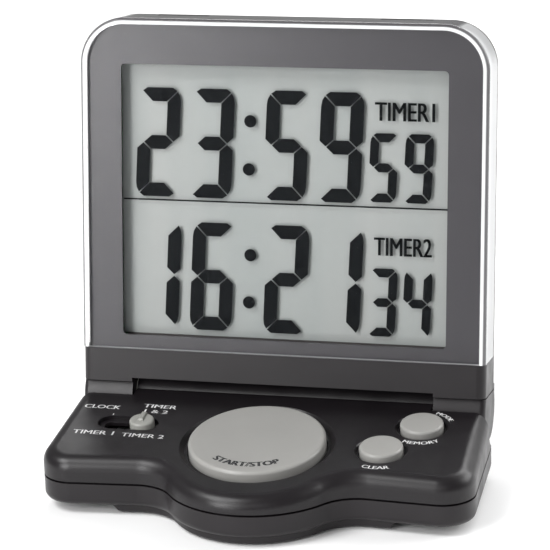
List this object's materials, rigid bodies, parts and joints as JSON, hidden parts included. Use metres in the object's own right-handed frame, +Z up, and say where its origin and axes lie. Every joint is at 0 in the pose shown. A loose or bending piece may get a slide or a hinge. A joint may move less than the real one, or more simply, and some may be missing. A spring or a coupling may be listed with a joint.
{
  "type": "two-line digital timer clock",
  "caption": "Digital timer clock: sloping base with round push buttons and a mode slide, and a hinged display panel with a clear lens over a two-line liquid crystal.",
  "frame": {"origin": "centre of the part's bounding box, at the level of its rubber feet", "axes": "+Z up, -Y towards the user, +X to the user's right"},
  "size_m": [0.1208, 0.0872, 0.1277],
  "materials": {
    "casing": "fine-textured charcoal moulding",
    "base_top": "fine-textured near-black moulding",
    "button": "satin warm grey",
    "knob": "satin light grey",
    "clear": "clear moulded styrene",
    "bezel": "satin grey",
    "lcd": "liquid crystal glass",
    "reflector": "grey-green reflective film",
    "rubber": "matt",
    "zebra": "layered silicone",
    "steel": "zinc plated",
    "spring_steel": "nickel plated",
    "board": "green solder mask",
    "resin": "black potting resin",
    "switch": "black switch housing",
    "plunger": "natural plunger",
    "brass": "polished disc",
    "cell": "plain dark sleeve",
    "wire": "grey flat insulated wires",
    "washer": "natural acetal"
  },
  "bodies": {
    "base": {"base_upper_shell": "base_top", "base_lower_shell": "casing", "rubber_feet": "rubber", "dry_cells": "cell", "battery_contacts": "spring_steel", "battery_springs": "spring_steel", "base_screws": "steel", "board_screws": "steel", "start_stop_switch": "switch", "clear_switch": "switch", "memory_switch": "switch", "mode_switch_frame": "steel", "control_board": "board", "wire_loom_base": "wire"},
    "display": {"display_lens": "clear", "display_bezel": "bezel", "display_front_frame": "casing", "display_rear_casing": "casing", "lcd_glass": "lcd", "lcd_reflector": "reflector", "zebra_strips": "zebra", "display_board": "board", "display_board_screws": "steel", "display_screws": "steel", "chip_cover": "resin", "quartz_crystal": "spring_steel", "buzzer": "brass", "wire_loom_display": "wire", "hinge_bush_left": "steel", "hinge_bush_right": "steel", "friction_washer_left": "washer", "friction_washer_right": "washer"},
    "start_stop": {"start_stop_button": "button", "start_stop_plunger": "plunger"},
    "clear": {"clear_button": "button", "clear_plunger": "plunger"},
    "memory": {"memory_button": "button", "memory_plunger": "plunger"},
    "mode_selector": {"mode_knob": "knob", "mode_switch_slider": "plunger"},
    "battery_door": {"battery_door": "casing"}
  },
  "joints": [
    {"name": "display_tilt", "type": "hinge", "parent": "base", "child": "display", "pos_m": [0, 0.01962, 0.01907], "axis": [-1, 0, 0], "range_deg": [-8, 5]},
    {"name": "start_stop_press", "type": "slide", "parent": "base", "child": "start_stop", "axis": [0, 0.1392, -0.9903], "range_m": [0, 0.0012], "stiffness_N_per_m": 700},
    {"name": "clear_press", "type": "slide", "parent": "base", "child": "clear", "axis": [0, 0.1392, -0.9903], "range_m": [0, 0.001], "stiffness_N_per_m": 700},
    {"name": "memory_press", "type": "slide", "parent": "base", "child": "memory", "axis": [0, 0.1392, -0.9903], "range_m": [0, 0.001], "stiffness_N_per_m": 700},
    {"name": "mode_slide", "type": "slide", "parent": "base", "child": "mode_selector", "axis": [-1, 0, 0], "range_m": [0, 0.0081]},
    {"name": "battery_door_slide", "type": "slide", "parent": "base", "child": "battery_door", "axis": [0, 1, 0], "range_m": [0, 0.018]}
  ]
}
